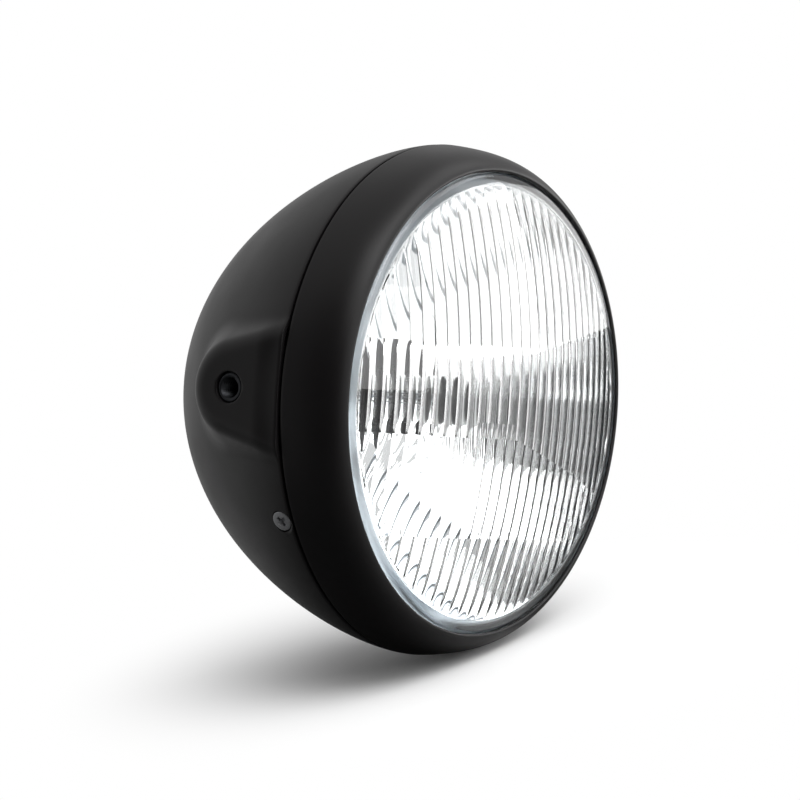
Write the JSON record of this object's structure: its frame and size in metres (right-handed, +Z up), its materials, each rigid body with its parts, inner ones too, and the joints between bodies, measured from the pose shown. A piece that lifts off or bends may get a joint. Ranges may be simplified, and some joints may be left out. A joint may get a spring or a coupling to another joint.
{
  "type": "motorcycle headlight",
  "caption": "Round motorcycle headlight: black pressed bowl with threaded side pads, rolled rim and a domed, vertically fluted glass over a parabolic reflector.",
  "frame": {"origin": "centre of the whole lamp's bounding box, on the lamp axis midway between the glass and the rear grommet", "axes": "-Y is the way the light leaves, +Y towards the nose of the bowl, +Z up, +X through the right-hand side bolt"},
  "size_m": [0.189, 0.1358, 0.187],
  "materials": {
    "black_paint": "satin",
    "lens_glass": "gloss",
    "mirror_aluminium": "polished",
    "sealant": "satin",
    "black_rubber": "matte",
    "black_steel": "satin",
    "zinc_steel": "satin",
    "spring_steel": "satin",
    "bulb_metal": "satin",
    "bulb_glass": "gloss",
    "black_plastic": "matte",
    "brass_blade": "satin",
    "filament_wire": "satin"
  },
  "bodies": {
    "root": {"shell": "black_paint", "rim": "black_paint", "lens": "lens_glass", "reflector": "mirror_aluminium", "lens_bond": "sealant", "rim_gasket": "black_rubber", "unit_clip_1": "spring_steel", "unit_clip_2": "spring_steel", "unit_clip_3": "spring_steel", "unit_clip_4": "spring_steel", "unit_clip_5": "spring_steel", "left_bush": "black_steel", "right_bush": "black_steel", "left_rim_screw": "black_steel", "right_rim_screw": "black_steel", "left_rim_nut": "zinc_steel", "right_rim_nut": "zinc_steel", "rim_catch": "zinc_steel", "bulb_seat": "black_steel", "bulb_clip": "spring_steel", "bulb_base": "bulb_metal", "bulb_glass": "bulb_glass", "bulb_insulator": "black_plastic", "terminal_main": "brass_blade", "terminal_dip": "brass_blade", "terminal_earth": "brass_blade", "main_filament": "filament_wire", "dip_filament": "filament_wire", "dip_shield": "filament_wire", "dust_boot": "black_rubber", "cable_grommet": "black_rubber"}
  },
  "joints": []
}
